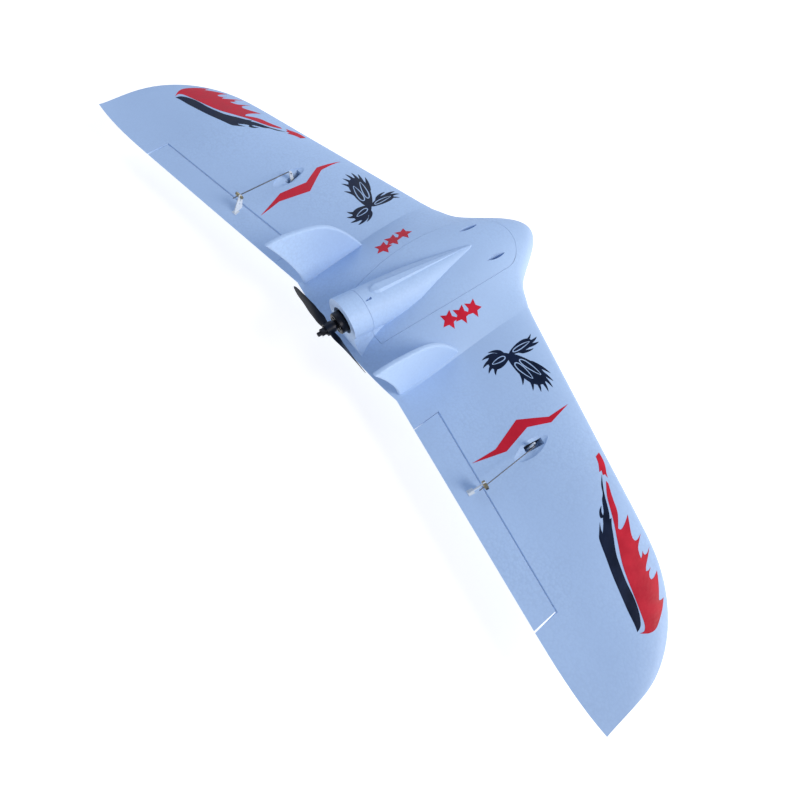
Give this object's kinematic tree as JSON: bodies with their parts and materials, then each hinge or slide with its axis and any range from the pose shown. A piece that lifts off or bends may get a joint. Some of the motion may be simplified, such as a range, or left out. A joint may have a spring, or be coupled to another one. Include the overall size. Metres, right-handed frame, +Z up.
{
  "type": "radio-controlled flying wing",
  "caption": "Foam tailless model aeroplane with a blended body, twin fins, servo-driven elevons, a lift-off equipment hatch and a rear motor turning a pusher propeller.",
  "frame": {"origin": "on the plane of the flat belly, midway along the overall length and midway across the span", "axes": "+X along the span towards the left wing tip, +Y towards the tail with the nose at -Y, +Z up out of the top of the body"},
  "size_m": [1.02, 0.3802, 0.1213],
  "materials": {
    "foam": "moulded expanded-bead foam skin, satin, fine bead texture",
    "carbon": "pultruded carbon fibre tube",
    "hinge_film": "flexible hinge strip",
    "magnet": "nickel-plated disc magnets",
    "plywood": "light plywood plate",
    "alloy_black": "black anodised aluminium",
    "alloy": "turned aluminium",
    "steel": "steel",
    "lamination": "stacked steel laminations",
    "copper": "enamelled copper wire",
    "prop_plastic": "black glass-filled nylon",
    "servo_plastic": "black servo case",
    "white_nylon": "white moulded nylon",
    "brass": "turned brass",
    "cover_plastic": "thin white plastic plate",
    "wire_rubber": "silicone-covered wire",
    "battery_wrap": "shrink-wrapped lithium polymer pack",
    "strap": "hook-and-loop strap",
    "shrink": "heat-shrunk controller",
    "plug_plastic": "nylon power plug"
  },
  "bodies": {
    "airframe": {"battery_leads": "wire_rubber", "battery_pack": "battery_wrap", "battery_plug": "plug_plastic", "battery_strap": "strap", "bay_magnets": "magnet", "controller_leads": "wire_rubber", "controller_plug": "plug_plastic", "fuselage": "foam", "left_fin": "foam", "left_hinge_strip": "hinge_film", "left_servo": "servo_plastic", "left_servo_cover": "cover_plastic", "left_servo_lead": "wire_rubber", "left_wing": "foam", "motor_base": "alloy", "motor_bearings": "steel", "motor_firewall": "plywood", "motor_leads": "wire_rubber", "motor_screws": "steel", "motor_stator": "lamination", "motor_windings": "copper", "receiver": "servo_plastic", "right_fin": "foam", "right_hinge_strip": "hinge_film", "right_servo": "servo_plastic", "right_servo_cover": "cover_plastic", "right_servo_lead": "wire_rubber", "right_wing": "foam", "speed_controller": "shrink", "wing_dowels": "carbon", "wing_spar_tube": "carbon"},
    "prop_rotor": {"motor_bell": "alloy_black", "motor_magnets": "magnet", "motor_shaft": "steel", "prop_adapter": "alloy_black", "propeller": "prop_plastic", "prop_washer": "alloy_black", "prop_nut": "alloy_black"},
    "hatch_lid": {"hatch": "foam", "hatch_magnets": "magnet"},
    "left_surface": {"left_elevon": "foam", "left_control_horn": "white_nylon"},
    "left_arm": {"left_servo_arm": "white_nylon", "left_arm_screw": "steel"},
    "left_rod": {"left_pushrod": "steel", "left_rod_clamp": "brass", "left_clamp_screw": "steel"},
    "right_surface": {"right_elevon": "foam", "right_control_horn": "white_nylon"},
    "right_arm": {"right_servo_arm": "white_nylon", "right_arm_screw": "steel"},
    "right_rod": {"right_pushrod": "steel", "right_rod_clamp": "brass", "right_clamp_screw": "steel"}
  },
  "joints": [
    {"name": "prop_spin", "type": "hinge", "parent": "airframe", "child": "prop_rotor", "pos_m": [0, 0.151, 0.08], "axis": [0, 1, 0], "continuous": true},
    {"name": "hatch_lift", "type": "slide", "parent": "airframe", "child": "hatch_lid", "axis": [0, 0, 1], "range_m": [0, 0.07]},
    {"name": "left_elevon_hinge", "type": "hinge", "parent": "airframe", "child": "left_surface", "pos_m": [0.246, 0.1217, 0.046], "axis": [0.9845, 0.1752, 0], "range_deg": [-25, 25]},
    {"name": "left_servo_turn", "type": "hinge", "parent": "airframe", "child": "left_arm", "pos_m": [0.246, 0.0457, 0.047], "axis": [0.9845, 0.1752, 0], "range_deg": [-25, 25]},
    {"name": "left_rod_pivot", "type": "hinge", "parent": "left_arm", "child": "left_rod", "pos_m": [0.246, 0.0457, 0.061], "axis": [0.9845, 0.1752, 0], "range_deg": [-25, 25]},
    {"name": "right_elevon_hinge", "type": "hinge", "parent": "airframe", "child": "right_surface", "pos_m": [-0.246, 0.1217, 0.046], "axis": [0.9845, -0.1752, 0], "range_deg": [-25, 25]},
    {"name": "right_servo_turn", "type": "hinge", "parent": "airframe", "child": "right_arm", "pos_m": [-0.246, 0.0457, 0.047], "axis": [0.9845, -0.1752, 0], "range_deg": [-25, 25]},
    {"name": "right_rod_pivot", "type": "hinge", "parent": "right_arm", "child": "right_rod", "pos_m": [-0.246, 0.0457, 0.061], "axis": [0.9845, -0.1752, 0], "range_deg": [-25, 25]}
  ],
  "couplings": [
    {"joint": "left_servo_turn", "follows": "left_elevon_hinge", "ratio": 1},
    {"joint": "left_rod_pivot", "follows": "left_elevon_hinge", "ratio": -1},
    {"joint": "right_servo_turn", "follows": "right_elevon_hinge", "ratio": 1},
    {"joint": "right_rod_pivot", "follows": "right_elevon_hinge", "ratio": -1}
  ]
}
